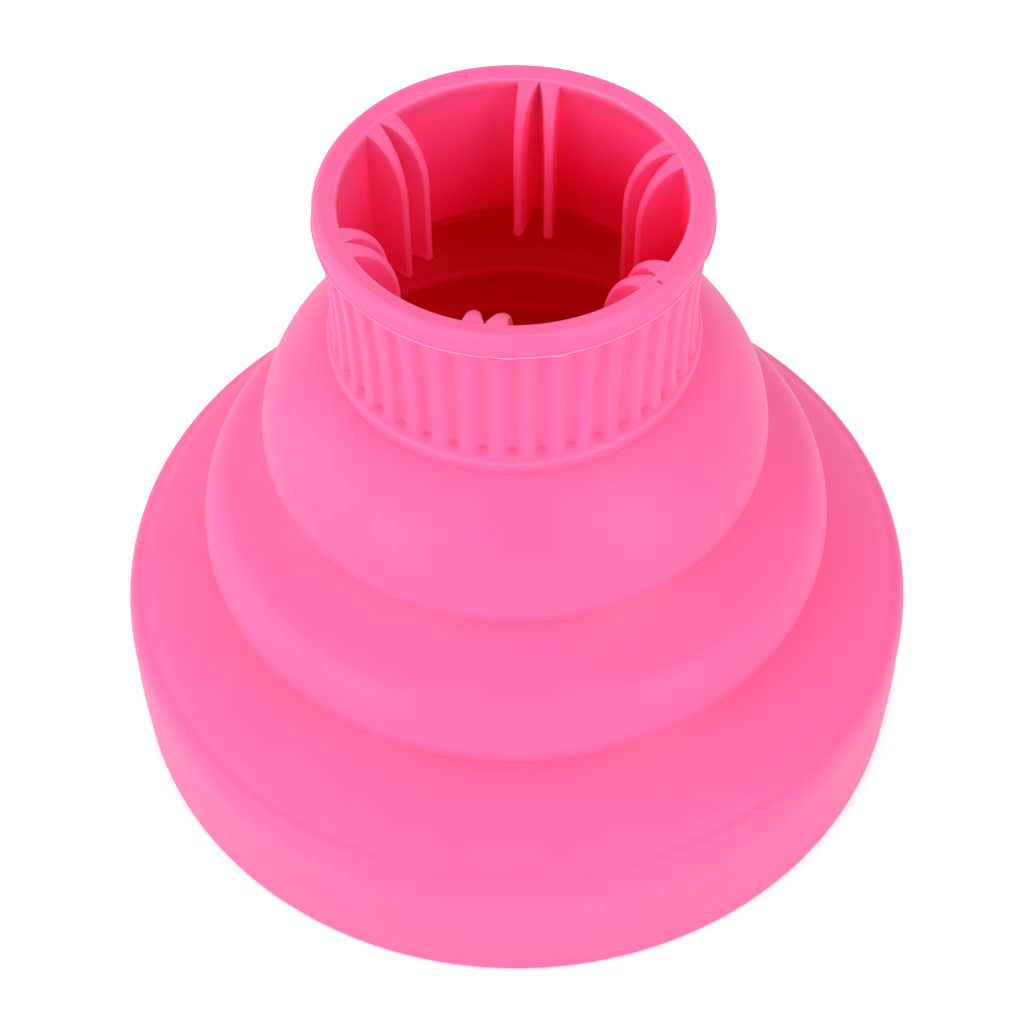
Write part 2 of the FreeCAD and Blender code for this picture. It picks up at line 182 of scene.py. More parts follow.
def inside_line():
    """The outline set in by the wall, drawn through smoothly where it turns too tightly."""
    line = outer - outer_normals * wall_thickness()[:, None]
    line[-1] = outer[-1] - np.array([SKIRT_WALL, 0])
    last = len(outer) - 1
    outer_steps, inner_steps = outer[1:] - outer[:-1], line[1:] - line[:-1]
    shrunk = (outer_steps * inner_steps).sum(1) < 0.45 * (outer_steps ** 2).sum(1)
    tight = set()
    for i in np.where(shrunk)[0]:
        tight.update(range(max(1, i - 3), min(last, i + 5)))
    for start in sorted(tight):
        if start - 1 in tight:
            continue
        end = start
        while end in tight:
            end += 1
        base = stations[start - 1]
        share = ((stations[start:end] - base) / (stations[end] - base))[:, None]
        line[start:end] = line[start - 1] * (1 - share) + line[end] * share
        low, high = max(1, start - 8), min(last, end + 8)
        for _ in range(30):
            line[low:high] = (line[low - 1:high - 1] + 2 * line[low:high]
                              + line[low + 1:high + 1]) / 4
    return line


outer_normals = curve_normals(outer)
inner = inside_line()
inner_normals = -curve_normals(inner)       # these point into the hollow


# ---------------------------------------------------------------- mesh helpers
def link_object(name, data):
    obj = bpy.data.objects.new(name, data)
    bpy.context.scene.collection.objects.link(obj)
    return obj


def add_attribute(mesh, name, values):
    attribute = mesh.attributes.new(name, "FLOAT", "POINT")
    attribute.data.foreach_set("value", np.asarray(values, np.float32))


def face_outward(mesh, merge=False):
    bm = bmesh.new()
    bm.from_mesh(mesh)
    if merge:
        bmesh.ops.remove_doubles(bm, verts=bm.verts, dist=1e-6)
    bmesh.ops.recalc_face_normals(bm, faces=bm.faces)
    bm.to_mesh(mesh)
    bm.free()


def mean_curvature(mesh):
    """Mean curvature at each vertex in 1/mm, positive where the surface is convex."""
    places = np.array([v.co for v in mesh.vertices]) / MM
    normals = np.array([v.normal for v in mesh.vertices])
    edges = np.array([e.vertices for e in mesh.edges])
    first, second = edges.T
    along = places[second] - places[first]
    length2 = np.maximum((along * along).sum(1), 1e-4)
    total, count = np.zeros(len(places)), np.zeros(len(places))
    np.add.at(total, first, -2 * (normals[first] * along).sum(1) / length2)
    np.add.at(total, second, 2 * (normals[second] * along).sum(1) / length2)
    np.add.at(count, edges.ravel(), 1)
    return np.clip(total / np.maximum(count, 1), -3, 3)


def new_object(name, verts, faces, inside, loop_normals=None, sharp=None, curv=None, curv_scale=1.0):
    """Mesh object from mm. `inside` is its painted shade tone, `curv` its curvature in 1/mm (measured
    and scaled by `curv_scale` if not given) for paler edges and painted shade in corners, `sharp` an
    edge angle in degrees."""
    mesh = bpy.data.meshes.new(name)
    mesh.from_pydata([tuple(v) for v in np.asarray(verts) * MM], [], faces)
    mesh.update()
    if loop_normals is None:
        face_outward(mesh)
    mesh.shade_smooth()
    add_attribute(mesh, "inside", inside)
    add_attribute(mesh, "curv", curv_scale * mean_curvature(mesh) if curv is None else curv)
    if sharp is not None:
        mesh.set_sharp_from_angle(angle=math.radians(sharp))
    if loop_normals is not None:
        mesh.normals_split_custom_set([tuple(normal) for normal in loop_normals])
    mesh.validate()
    return link_object(name, mesh)


def grid_faces(strips, rows, per_row):
    """Quads between closed rows of vertices; the row after the last is the first."""
    for i in range(strips):
        here, there = i * per_row, (i + 1) % rows * per_row
        for j in range(per_row):
            j2 = (j + 1) % per_row
            yield here + j, here + j2, there + j2, there + j


def ladder(start, count):
    """Quads across a closed row of vertices, as a clean end face."""
    return [(start + j, start + j + 1, start + count - 2 - j, start + count - 1 - j)
            for j in range(count // 2 - 1)]


def revolve(radii, heights, azimuths):
    """Points of a profile in one row per azimuth."""
    x = radii * np.sin(azimuths)[:, None]
    y = radii * np.cos(azimuths)[:, None]
    return np.stack([x, y, np.broadcast_to(heights, x.shape)], -1)


def hollow_shade(points):
    """Painted shade in the hollow: 0 at the lip, near 1 inside, less again towards the open underside.
    """
    z = np.asarray(points, float)[..., -1]
    return 0.9 * np.clip((115.2 - z) / 27.0, 0, 1) ** 0.72 * np.clip(0.30 + (z - 2.0) / 14.0, 0.30, 1.0)


def hollow_shade_around(azimuth):
    """Painted shade in the hollow is weakest near -X and strongest near +X."""
    return 1 - 0.27 * np.cos(azimuth - math.radians(262))


def outer_shade_around(azimuth):
    """Painted shade on the outside is strongest towards -X and +X."""
    return 0.40 + 0.60 * np.sin(azimuth) ** 2


def curved(points, inside):
    return points, curve_normals(points), inside


def flat(points, inside):
    return np.array(points), None, inside


def line_curvature(points, normals):
    gaps = np.maximum(np.hypot(*(points[1:] - points[:-1]).T), 1e-3)
    turn = normals[1:] - normals[:-1]
    bend = (turn[:, 0] * normals[:-1, 1] - turn[:, 1] * normals[:-1, 0]) / gaps / 2
    return np.r_[bend[0], (bend[1:] + bend[:-1]) / 2, bend[-1]]


def lathe(name, spans, sector=(0.0, 360.0), steps=288, warp=None):
    """Solid of revolution from a closed loop of spans, with the outside on the loop's left.

    A span is (points, normals or None if flat between points, painted shade tone); the end of one is
    the start of the next. A tone given as a function is painted shade for the hollow.
    """
    points, tones, hollow, curvature, starts, ends = [], [], [], [], [], []
    last = 0.0
    for line, normals, inside in spans:
        if normals is None:
            bend = np.full(len(line), last)
            start = end = left_normals(np.diff(line, axis=0))
        else:
            bend = line_curvature(line, normals)
            start, end = normals[:-1], normals[1:]
        last = bend[-1]
        tone = inside(line) if callable(inside) else np.broadcast_to(inside, len(line))
        for table, values in ((points, line[:-1]), (tones, tone[:-1]), (curvature, bend[:-1]),
                              (hollow, [callable(inside)] * (len(line) - 1)),
                              (starts, start), (ends, end)):
            table.extend(values)
    points, starts, ends = np.array(points), np.array(starts), np.array(ends)
    per_row = len(points)
    full = sector[1] - sector[0] == 360
    rows = steps if full else steps + 1
    azimuths = np.radians(sector[0] + (sector[1] - sector[0]) * np.arange(rows) / steps)
    verts = revolve(points[:, 0], points[:, 1], azimuths)
    if warp is not None:
        verts = warp(verts)
    verts = verts.reshape(-1, 3)
    start_normals = revolve(starts[:, 0], starts[:, 1], azimuths).reshape(-1, 3).tolist()
    end_normals = revolve(ends[:, 0], ends[:, 1], azimuths).reshape(-1, 3).tolist()
    faces, loop_normals = [], []
    for a, b, c, d in grid_faces(steps, rows, per_row):
        faces.append((a, d, c, b))
        loop_normals += [start_normals[a], start_normals[d], end_normals[d], end_normals[a]]
    if not full:
        for i, sign in ((0, -1), (steps, 1)):
            normal = np.array([np.cos(azimuths[i]), -np.sin(azimuths[i]), 0.0]) * sign
            for quad in ladder(i * per_row, per_row):
                side0, side1 = verts[quad[1]] - verts[quad[0]], verts[quad[3]] - verts[quad[0]]
                if np.dot(np.cross(side0, side1), normal) < 0:
                    quad = quad[::-1]
                faces.append(quad)
                loop_normals += [normal] * 4
    # painted shade varied around the azimuth, in the hollow and on the outside
    around = np.where(hollow, hollow_shade_around(azimuths)[:, None], outer_shade_around(azimuths)[:, None])
    tone = np.clip(around * np.array(tones), 0, 0.92).ravel()
    return new_object(name, verts, faces, tone, loop_normals, curv=np.tile(curvature, rows))


# ---------------------------------------------------------------- tiers, skirt and fold webs
def valley_shade(index, reach_up, reach_down, peak):
    """A soft patch along the outside, strongest at the index."""
    away = stations - stations[index]
    return peak * np.where(away < 0, np.exp(-(away / reach_up) ** 2),
                           np.exp(-np.clip(away, 0, None) / reach_down))


def band_shade(index, offset, width, peak):
    return peak * np.exp(-((stations - stations[index] - offset) / width) ** 2)


outer_shade = (valley_shade(valley1_mid, 1.6, 4.2, 0.085) + valley_shade(valley2_mid, 1.6, 6.5, 0.125)
               + valley_shade(0, 1.0, 4.5, 0.05)
               + band_shade(upper_end, -1.6, 1.8, 0.07) + band_shade(middle_end, -1.6, 2.0, 0.10)
               + band_shade(lower_end, 0.9, 1.3, 0.022))


def hollow_shade_with_ridge_highlight(points):
    """Painted shade in the hollow, with a thin painted highlight along each fold's inner ridge."""
    tone = 1
    for index, strength in ((valley1_mid, 0.34), (valley2_mid, 0.26)):
        r, z = inner[index]
        away = np.hypot(points[:, 0] - r, points[:, 1] - z - 0.9)
        tone = tone - strength * np.exp(-(away / 0.55) ** 2)
    return hollow_shade(points) * tone


def skin(name, first, last, **kwargs):
    part = slice(first, last + 1)
    outside, inside = outer[part], inner[part][::-1]
    # painted shade in the outside valleys and down the hollow, with a painted highlight on each fold's
    # inner ridge
    return lathe(name, [
        (outside, outer_normals[part], outer_shade[part]),
        flat([outside[-1], inside[0]], outer_shade[last]),
        (inside, inner_normals[part][::-1], hollow_shade_with_ridge_highlight),
        flat([inside[-1], outside[0]], hollow_shade)], **kwargs)


pieces = {}
for node, first, last in (("upper_tier", 0, upper_end), ("middle_tier", web1_end, middle_end),
                          ("lower_tier", web2_end, lower_end), ("base_skirt", lower_end, skirt_end)):
    pieces[node] = skin(node + "_skin", first, last)

# the webs are cut into sectors
WEB_SECTORS = 36
SECTOR_ANGLE = 360.0 / WEB_SECTORS
webs = []
# node, first and last index, bodies it joins, radii where the bend starts and ends
for node, first, last, *joint in (
        ("upper_fold_web", upper_end, web1_end, "neck", "middle", 42.3, 49.1),
        ("lower_fold_web", middle_end, web2_end, "middle", "base", 54.4, 61.2)):
    for k in range(WEB_SECTORS):
        obj = skin("%s_s%02d" % (node, k + 1), first, last,
                   sector=(k * SECTOR_ANGLE, (k + 1) * SECTOR_ANGLE), steps=8)
        webs.append((obj, node, *joint, (k + 0.5) * SECTOR_ANGLE))


def rim_bead():
    wall_r = BASE_R - SKIRT_WALL
    inner_r = wall_r - RIM_REACH_IN
    outside = np.array([(BASE_R, RIM_H), (BASE_R, 2.0)]
                       + arc(BASE_R - RIM_ROUND, RIM_ROUND, RIM_ROUND, 0, -90, 7))
    bottom = [outside[-1], (70.5, 0.0), (inner_r + RIM_ROUND, 0.0)]
    inside = np.array(arc(inner_r + RIM_ROUND, RIM_ROUND, RIM_ROUND, -90, -180, 7)
                      + [(inner_r, RIM_H - 1.1)])
    top = smooth([inside[-1], (wall_r - RIM_REACH_IN * 0.72, RIM_H - 0.55),
                  (wall_r - 0.25, RIM_H - 0.12), (wall_r, RIM_H)], 0.2)[0]
    # painted shade: a little on the bottom face, hollow shade on the inner faces
    return lathe("base_rim_bead_skin", [
        curved(outside, 0.0), flat(bottom, 0.1), curved(inside, hollow_shade), curved(top, hollow_shade),
        flat([(wall_r, RIM_H), (BASE_R, RIM_H)], hollow_shade)])


pieces["base_rim_bead"] = rim_bead()

# ---------------------------------------------------------------- neck
RIBS = 40
GROOVE_AZIMUTH = 180.0 - 70.8               # a groove's centre
# stations across half a pitch: 0 mid groove, 1 mid rib
HALF_PITCH = np.array([0.0, 0.09, 0.17, 0.25, 0.32, 0.39, 0.46, 0.54, 0.63, 0.74, 0.87])


def neck_sleeve():
    """Sleeve with upright rounded ribs outside and a plain bore."""
    crest = smooth([(BEAD_TOP_R, BEAD_Z1), (RIB_R + 0.02, 91.0), (RIB_R, 97.0),
                    (RIB_R + 0.12, 102.5), (RIB_R + 0.5, 107.2), (RIB_TOP_R, SLEEVE_Z1)], 0.42)[0]
    share = np.r_[HALF_PITCH, [1.0], 2 - HALF_PITCH[:0:-1]] / 2         # once across a pitch
    per_rib = len(share)
    rows = RIBS * per_rib
    pitches = np.repeat(np.arange(RIBS), per_rib) + np.tile(share, RIBS)
    azimuths = np.radians(GROOVE_AZIMUTH + 360.0 / RIBS * pitches)
    to_rib = np.tile(np.minimum(share, 1 - share) * 2, RIBS)
    uneven = rng.normal(0, 1, (RIBS, 2)).repeat(per_rib, 0)     # no two ribs are quite alike
    groove = smoothstep((0.64 + 0.014 * uneven[:, 0] - to_rib) / 0.58)[:, None]
    crown = 0.26 * (1 - np.clip((1 - to_rib) / 0.62, 0, 1) ** 2)
    z = crest[:, 1]
    foot = np.clip((z - 88.3) / 0.75, 0, 1)
    foot = np.sqrt(np.clip(1 - (1 - foot) ** 2, 0, 1))
    pocket = 0.36 * np.exp(-((z - 89.1) / 0.62) ** 2)   # the groove dips where it meets the bead
    radii = (crest[:, 0] + (crown - 0.14)[:, None] * foot
             - groove * (foot * (0.56 + pocket)) * (1 + 0.04 * uneven[:, 1:]))
    bore_z = np.linspace(SLEEVE_Z1, BEAD_Z1, 14)
    radii = np.concatenate([radii, np.full((rows, len(bore_z)), BORE_R)], 1)
    verts = revolve(radii, np.r_[z, bore_z], azimuths).reshape(-1, 3)
    # painted shade in the grooves, darker in the pocket at their foot, and hollow shade down the bore
    bore_shade = np.clip(hollow_shade(bore_z[:, None]) * hollow_shade_around(azimuths)[:, None], 0, 0.92)
    tone = np.concatenate([groove * (foot * (0.040 + 0.26 * pocket)), bore_shade], 1).ravel()
    faces = list(grid_faces(rows, rows, radii.shape[1]))
    return new_object("neck_sleeve_skin", verts, faces, tone, sharp=70, curv_scale=0.35)


def neck_bead():
    inside = smooth([(BORE_R, BEAD_Z1), (27.55, 87.2), (27.85, 86.45), (28.35, 85.75), inner[0]],
                    0.35)[0]
    outside = smooth([(BEAD_TOP_R, BEAD_Z1), (BEAD_R - 0.1, 87.55), (BEAD_R, 86.6),
                      (BEAD_R - 0.08, 85.6), (BEAD_FOOT_R, BEAD_Z0)], 0.2)[0]
    # painted hollow shade on the inner face
    return lathe("neck_base_bead_skin", [
        curved(outside, 0.0), flat([outside[-1], inner[0]], 0.0),
        curved(inside[::-1], hollow_shade), flat([inside[0], outside[0]], hollow_shade)])


FLASH = 0.26                                # reach of the thin mould line under the lip
LIP_STEPS = 480
# nicks in the mould line: azimuth, width in degrees, depth (negative for a burr)
NICKS = ((186.6, 1.1, 1.0), (178.8, 0.8, 0.9), (167.9, 1.4, -1.4),
         (231.0, 1.0, 0.8), (112.0, 1.2, 0.9), (28.0, 1.5, 0.7))


def neck_lip():
    upper = smooth([
        (BORE_R, SLEEVE_Z1), (27.3, 113.1), (LIP_IN_R, 114.5), (27.4, 115.2), (28.3, 115.5),
        (29.3, 115.7), (30.05, LIP_Z), (30.62, 115.5), (30.98, 114.95), (LIP_R, 114.1),
        (LIP_R + 0.02, 113.2), (LIP_R + 0.03, 112.55)], 0.22)[0]
    mould_line = np.array([
        upper[-1], (LIP_R + 0.06, 112.44), (LIP_R + 0.03 + FLASH, 112.36),
        (LIP_R + 0.05 + FLASH, 112.27), (LIP_R + FLASH, 112.20), (LIP_R - 0.02, 112.14)])
    lower = smooth([mould_line[-1], (30.95, 111.95), (RIB_TOP_R + 0.14, 111.6),
                    (RIB_TOP_R, SLEEVE_Z1)], 0.2)[0]
    steps = np.arange(LIP_STEPS)
    knots = rng.uniform(0, 1, LIP_STEPS // 8)
    wave = 0.45 + 0.55 * np.interp(steps, np.arange(0, LIP_STEPS + 1, 8), np.r_[knots, knots[0]])
    for azimuth, width, depth in NICKS:
        wave -= depth * np.exp(-((steps * (360 / LIP_STEPS) - azimuth) / width) ** 2)
    wave = np.clip(wave, -0.1, 1.6)[:, None]

    def uneven_line(verts):
        r, z = np.hypot(verts[..., 0], verts[..., 1]), verts[..., 2]
        band = (z > 112.15) & (z < 112.5)
        reach = np.where(band, np.clip(r - LIP_R - 0.03, 0, None), 0)
        verts[..., :2] *= (1 - (1 - wave) * reach / r)[..., None]
        return verts

    # painted hollow shade, only on the bore side of the lip
    def bore_side_shade(points):
        return hollow_shade(points) * np.clip((28.1 - points[:, 0]) / 0.6, 0, 1)

    return lathe("neck_lip_skin", [
        curved(upper, bore_side_shade), curved(mould_line, 0.0), curved(lower, 0.0),
        flat([lower[-1], upper[0]], 0.0)], steps=LIP_STEPS, warp=uneven_line)


pieces["neck_sleeve"] = neck_sleeve()
pieces["neck_base_bead"] = neck_bead()
pieces["neck_lip"] = neck_lip()

# ---------------------------------------------------------------- fins inside the neck
FIRST_PAIR_AZIMUTH = 9.4
FIN_Z0, FIN_ROUND_Z = 87.35, 103.8          # lower edge, start of the rounded top
FIN_EDGE_ROUND = 0.32
FIN_MIN_REACH = 0.75
TIP_SEGMENTS = 15
LOW_ROWS_Z = (FIN_Z0, 87.4, 87.5, 87.65, 87.85, 88.1, 88.4, 88.8, 89.4, 90.4, 92.0, 94.0, 96.0,
              98.0, 100.0, 101.8, 103.2)


def turned(x, y, azimuth):
    """Turn local x (sideways), y (outward) to an azimuth."""
    return (x * math.cos(azimuth) + y * math.sin(azimuth),
            -x * math.sin(azimuth) + y * math.cos(azimuth))


def fin(name, side, azimuth):
    """One upright fin beside its pair's radius; also gives where its bend starts and ends."""
    root, tip = np.array([side * 1.72, 27.95]), np.array([side * 2.66, 19.85])
    outward = root - tip
    full = np.hypot(*outward)
    outward /= full
    across = np.array([outward[1], -outward[0]])
    # z of each row, and its share of the full reach from the root
    rows = [(z, 1.0) for z in LOW_ROWS_Z]
    for angle in np.radians(np.linspace(3, 88, 26)):
        rows.append((FIN_ROUND_Z + (11.30 - 0.05 * side) * math.sin(angle), math.cos(angle) ** 0.92))
    tip_angles = (math.pi * np.arange(1, TIP_SEGMENTS) / TIP_SEGMENTS)[:, None]
    verts = []
    for z, reach in rows:
        length = FIN_MIN_REACH + (full - FIN_MIN_REACH) * reach
        edge = min(1.0, (z - FIN_Z0) / 0.4)
        trim = math.sqrt(1 - (1 - edge) ** 2) * FIN_EDGE_ROUND - FIN_EDGE_ROUND
        foot_bead = 0.24 * math.exp(-((z - 87.9) / 0.45) ** 2)
        thicker = min(1.0, max(0.0, (z - 96.0) / 19.0))     # the root thickens towards the lip

        def half_width(distance):
            thin = (1 - np.minimum(1.0, distance / full)) ** 0.9
            body = (1.12 + 0.42 * thicker) * thin + 0.60 * (1 - thin)
            flare = (0.55 + 0.5 * thicker) * np.exp(-distance / 0.6)
            return np.minimum(1.69, body + flare) + trim

        tip_r = max(0.26, half_width(length) + (foot_bead if reach > 0.99 else 0.0))
        tip_r = min(tip_r, length * 0.9)
        distances = np.linspace(0.0, length - tip_r, 11)[:, None]
        middle = root - outward * distances
        offset = across * (half_width(distances) + foot_bead * distances / full)
        end = (middle[-1] + offset[-1] * np.cos(tip_angles)
               - outward * (tip_r + trim) * np.sin(tip_angles))
        ring = np.concatenate([middle + offset, end, (middle - offset)[::-1]])
        verts.append(np.c_[ring, np.full(len(ring), z)])
    row_count, per_row = len(verts), len(verts[0])
    verts = np.concatenate(verts)
    turn = math.radians(azimuth)
    verts[:, 0], verts[:, 1] = turned(verts[:, 0], verts[:, 1], turn)
    faces = [quad[::-1] for quad in grid_faces(row_count - 1, row_count, per_row)]
    faces += ladder(0, per_row)
    faces += [quad[::-1] for quad in ladder((row_count - 1) * per_row, per_row)]
    # painted hollow shade, by height and azimuth
    obj = new_object(name, verts, faces, 0.74 * hollow_shade(verts) * hollow_shade_around(turn), sharp=60)

    def bend_point(distance):
        x, y = turned(*(root - outward * distance), turn)
        return MM * x, MM * y, 0.1

    return obj, bend_point(0.4), bend_point(3.9)


fins = []
for k in range(6):
    for side in (-1, 1):
        number = len(fins) + 1
        fins.append(fin("grip_fin_%02d_skin" % number, side, FIRST_PAIR_AZIMUTH + 60 * k))

# ---------------------------------------------------------------- plate, its beads and nubs
PLATE_Z, PLATE_R = 12.0, 69.4
PLATE_HALF, PLATE_BEVEL = 0.75, 0.25        # flat half thickness, edge bevel
# holes: count, ring radius, first azimuth, hole radius
HOLES = ((6, 9.5, 30.0, 2.2), (12, 27.0, 0.0, 2.8), (18, 45.0, 0.0, 3.0), (30, 62.5, 6.0, 2.8))


def ring_centres(count, radius, azimuth):
    angles = [math.radians(azimuth + 360.0 * k / count) for k in range(count)]
    return [(radius * math.sin(a), radius * math.cos(a)) for a in angles]


def plate():
    curve = bpy.data.curves.new("diffuser_plate_skin", "CURVE")
    curve.dimensions = "2D"
    curve.fill_mode = "BOTH"
    curve.extrude = PLATE_HALF * MM
    curve.bevel_depth = PLATE_BEVEL * MM
    curve.bevel_resolution = 2
    curve.offset = -PLATE_BEVEL * MM

    def circle(x, y, radius, count):
        spline = curve.splines.new("POLY")
        spline.points.add(count - 1)
        spline.use_cyclic_u = True
        for i, point in enumerate(spline.points):
            a = 2 * math.pi * i / count
            point.co = ((x + radius * math.cos(a)) * MM, (y + radius * math.sin(a)) * MM, 0, 1)

    circle(0, 0, PLATE_R, 256)
    for count, ring_r, azimuth, hole_r in HOLES:
        for x, y in ring_centres(count, ring_r, azimuth):
            circle(x, y, hole_r, 32)
    source = link_object("tmp_plate", curve)
    source.location.z = PLATE_Z * MM
    bpy.context.view_layer.update()
    evaluated = source.evaluated_get(bpy.context.evaluated_depsgraph_get())
    mesh = bpy.data.meshes.new_from_object(evaluated)
    mesh.transform(source.matrix_world)
    bpy.data.objects.remove(source)
    face_outward(mesh, merge=True)
    mesh.shade_smooth()
    mesh.set_sharp_from_angle(angle=math.radians(35))
    z = np.array([v.co.z for v in mesh.vertices]) / MM
    # painted shade: full on the top face, less on the underside
    add_attribute(mesh, "inside", np.where(z > PLATE_Z + 0.2, 1.0, 0.45))
    add_attribute(mesh, "curv", np.zeros(len(z)))
    return link_object("diffuser_plate_skin", mesh)


def plate_bead(name, z0, z1):
    """Ring on the skirt's inside wall, from z0 to z1, with rounded inner corners."""
    skirt = inner[lower_end:]
    wall_r = min(float(skirt[np.argmin(np.abs(skirt[:, 1] - z)), 0]) for z in (z0, z1)) - 0.02
    face_r, corner_r, corner = 68.8, 68.9, 0.6
    face = np.array([(face_r, z0)] + arc(corner_r, z0 + corner, corner, -100, -180, 6)
                    + [(corner_r - corner, z0 + 1.1)]
                    + arc(corner_r, z1 - corner, corner, 180, 100, 6) + [(face_r, z1)])
    # painted hollow shade all over
    return lathe(name, [
        curved(face, hollow_shade),
        flat([(face_r, z1), (wall_r, z1), (wall_r, z0), (face_r, z0)], hollow_shade)], steps=200)


NUB_SEGMENTS = 28
NUB_TOP, NUB_BOTTOM = 11.02, 1.6
# r, z down the side: flared root, straight taper, round end
NUB_SIDE = ([(4.3, 11.0), (4.0, 10.85), (3.72, 10.55), (3.58, 10.1)]
            + [(3.58 - (3.58 - 2.32) * t, 10.1 - (10.1 - 3.9) * t) for t in (0.25, 0.5, 0.75)]
            + arc(0, 3.9, 2.3, 0, -88, 8))


def nubs(name, centres):
    verts, faces = [], []
    for x, y in centres:
        top = len(verts)
        verts.append((x, y, NUB_TOP))
        for r, z in NUB_SIDE:
            for i in range(NUB_SEGMENTS):
                a = 2 * math.pi * i / NUB_SEGMENTS
                verts.append((x + r * math.cos(a), y + r * math.sin(a), z))
        bottom = len(verts)
        verts.append((x, y, NUB_BOTTOM))
        rings = [top + 1 + j * NUB_SEGMENTS for j in range(len(NUB_SIDE))]
        for i in range(NUB_SEGMENTS):
            i2 = (i + 1) % NUB_SEGMENTS
            faces.append((top, rings[0] + i, rings[0] + i2))
            for upper, lower in zip(rings, rings[1:]):
                faces.append((upper + i, lower + i, lower + i2, upper + i2))
            faces.append((rings[-1] + i, bottom, rings[-1] + i2))
    # painted hollow shade
    return new_object(name, verts, faces, 0.8 * hollow_shade(verts), sharp=60)


pieces["diffuser_plate"] = plate()
for node, z0, z1 in (("plate_seat_bead", 13.0, 15.2), ("plate_retaining_bead", 8.8, 11.0)):
    pieces[node] = plate_bead(node + "_skin", z0, z1)
for node, centres in (("centre_nub", [(0, 0)]), ("inner_nubs", ring_centres(6, 18, 0)),
                      ("middle_nubs", ring_centres(12, 36, 15)),
                      ("outer_nubs", ring_centres(18, 54, 0))):
    pieces[node] = nubs(node + "_skin", centres)


# ---------------------------------------------------------------- materials
def set_inputs(tree, node, inputs):
    """Give each input, by name or index, a value or a socket to link from."""
    for key, value in inputs.items():
        if isinstance(value, bpy.types.NodeSocket):
            tree.links.new(value, node.inputs[key])
        else:
            node.inputs[key].default_value = value


def add_node(tree, kind, inputs=None, **settings):
    node = tree.nodes.new("ShaderNode" + kind)
    for key, value in settings.items():
        setattr(node, key, value)
    set_inputs(tree, node, inputs or {})
    return node


def srgb(*levels):
    """Linear colour from sRGB levels 0 to 255."""
    shares = [level / 255 for level in levels]
    return (*(s / 12.92 if s <= 0.04045 else ((s + 0.055) / 1.055) ** 2.4 for s in shares), 1.0)


# colour by painted shade (0 outside, 1 deep in the hollow), darker and lighter cloud colour there
SHADE_COLOURS = (
    (0.0, (251, 99, 161), (253, 103, 165)), (0.05, (251, 92, 153), (253, 96, 157)),
    (0.14, (253, 78, 140), (254, 82, 144)), (0.40, (254, 62, 132), (255, 66, 137)),
    (0.80, (247, 25, 74), (248, 29, 80)), (1.0, (214, 6, 28), (218, 8, 32)))
# pale colour for pale specks, rubbed wear and painted highlight on edges
PALE_DUST_WEAR_AND_HIGHLIGHT = srgb(255, 168, 210)
# colour for painted shade in creases, and for dark specks
CREASE_SHADE_AND_SPECK_COLOUR = srgb(236, 52, 112)
MARK_COLOUR = srgb(176, 34, 84)
# colours of the painted glow in the hollow
GLOW_SHALLOW, GLOW_DEEP = srgb(255, 44, 104), srgb(255, 5, 24)
# how strongly each colour is mixed in
EDGE_MIX, MOULD_LINE_MIX, CREASE_SHADE_MIX, DARK_SPECK_MIX, PALE_SPECK_MIX = 0.42, 0.95, 0.16, 0.40, 0.15
# noise scales, per metre
CLOUD_SCALE, RUB_SCALE, SPECK_SCALE, SATIN_SCALE = 34.0, 230.0, 88.0, 62.0
WAVE_SCALE, GRAIN_SCALE = 24.0, 1500.0
SPECK_OFFSET = (0.13, 0.31, 0.77)
# share of specks: dark above the first, pale below the second
DARK_SPECKS_ABOVE, PALE_SPECKS_BELOW = 0.90, 0.06
SATIN = (0.35, 0.47)                        # roughness range
RUBBED_SMOOTHER, CREASE_ROUGHER = -0.10, 0.10
# strength of the painted glow
GLOW = 0.082
# small marks, four on the lip and one low on the skirt: x, y, z, radius in mm, strength
MARKS = ((21.25, -19.05, 115.6, 0.34, 0.75), (21.50, -19.35, 115.6, 0.36, 0.85),
         (21.78, -19.72, 115.6, 0.34, 0.75), (-7.4, 27.8, 115.58, 0.42, 0.40),
         (60.6, -39.05, 7.4, 0.44, 0.40))


